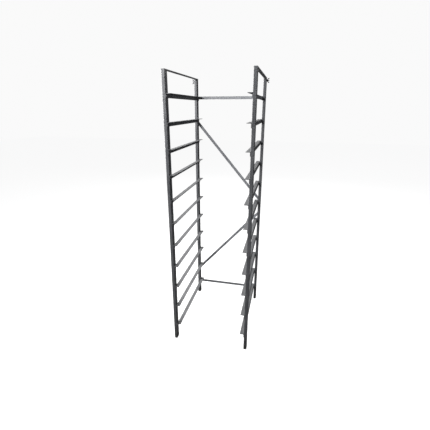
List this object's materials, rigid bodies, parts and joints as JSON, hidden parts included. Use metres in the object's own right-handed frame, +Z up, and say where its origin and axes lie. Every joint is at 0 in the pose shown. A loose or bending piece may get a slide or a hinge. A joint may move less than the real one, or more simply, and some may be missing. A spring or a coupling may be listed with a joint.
{
  "type": "tray rack",
  "caption": "Tall open rack of welded steel: two ladder-like side frames with inward angle runners for sheet pans, joined across the back by flat K bracing.",
  "frame": {"origin": "on the floor, under the centre of the rack's bounding box", "axes": "+X from the left side frame to the right, -Y out of the open front where trays go in, +Z up"},
  "size_m": [0.5572, 0.6696, 1.78],
  "materials": {
    "frame_paint": "dark grey semi-gloss paint",
    "runner_paint": "dark grey semi-gloss paint, rubbed by trays",
    "brace_paint": "dark grey satin paint",
    "fastener_steel": "zinc-plated steel",
    "wing_nut_black": "black oxide on a cast nut",
    "foot_plastic": "black moulded plastic"
  },
  "bodies": {
    "rack": {"upright_left_front": "frame_paint", "foot_plug_left_front": "foot_plastic", "upright_left_rear": "frame_paint", "foot_plug_left_rear": "foot_plastic", "top_rail_left": "frame_paint", "runner_left_01": "runner_paint", "runner_left_02": "runner_paint", "runner_left_03": "runner_paint", "runner_left_04": "runner_paint", "runner_left_05": "runner_paint", "runner_left_06": "runner_paint", "runner_left_07": "runner_paint", "runner_left_08": "runner_paint", "runner_left_09": "runner_paint", "runner_left_10": "runner_paint", "runner_left_11": "runner_paint", "wing_stud_left": "fastener_steel", "upright_right_front": "frame_paint", "foot_plug_right_front": "foot_plastic", "upright_right_rear": "frame_paint", "foot_plug_right_rear": "foot_plastic", "top_rail_right": "frame_paint", "runner_right_01": "runner_paint", "runner_right_02": "runner_paint", "runner_right_03": "runner_paint", "runner_right_04": "runner_paint", "runner_right_05": "runner_paint", "runner_right_06": "runner_paint", "runner_right_07": "runner_paint", "runner_right_08": "runner_paint", "runner_right_09": "runner_paint", "runner_right_10": "runner_paint", "runner_right_11": "runner_paint", "wing_stud_right": "fastener_steel", "brace_top": "brace_paint", "brace_upper_diagonal": "brace_paint", "brace_lower_diagonal": "brace_paint", "brace_bottom": "brace_paint", "brace_rivet_nuts": "fastener_steel", "brace_washers": "fastener_steel", "brace_bolts": "fastener_steel"},
    "washer_left": {"wing_washer_left": "fastener_steel"},
    "wing_nut_left": {"wing_nut_left": "wing_nut_black"},
    "washer_right": {"wing_washer_right": "fastener_steel"},
    "wing_nut_right": {"wing_nut_right": "wing_nut_black"}
  },
  "joints": [
    {"name": "wing_nut_left_travel", "type": "slide", "parent": "rack", "child": "washer_left", "axis": [-1, 0, 0], "range_m": [0, 0.005]},
    {"name": "wing_nut_left_turn", "type": "hinge", "parent": "washer_left", "child": "wing_nut_left", "pos_m": [-0.2653, 0.3052, 1.76], "axis": [1, 0, 0], "range_deg": [0, 1800]},
    {"name": "wing_nut_right_travel", "type": "slide", "parent": "rack", "child": "washer_right", "axis": [1, 0, 0], "range_m": [0, 0.005]},
    {"name": "wing_nut_right_turn", "type": "hinge", "parent": "washer_right", "child": "wing_nut_right", "pos_m": [0.2653, 0.3052, 1.76], "axis": [-1, 0, 0], "range_deg": [0, 1800]}
  ],
  "couplings": [
    {"joint": "wing_nut_left_travel", "follows": "wing_nut_left_turn", "m_per_rad": 0.00015915},
    {"joint": "wing_nut_right_travel", "follows": "wing_nut_right_turn", "m_per_rad": 0.00015915}
  ]
}
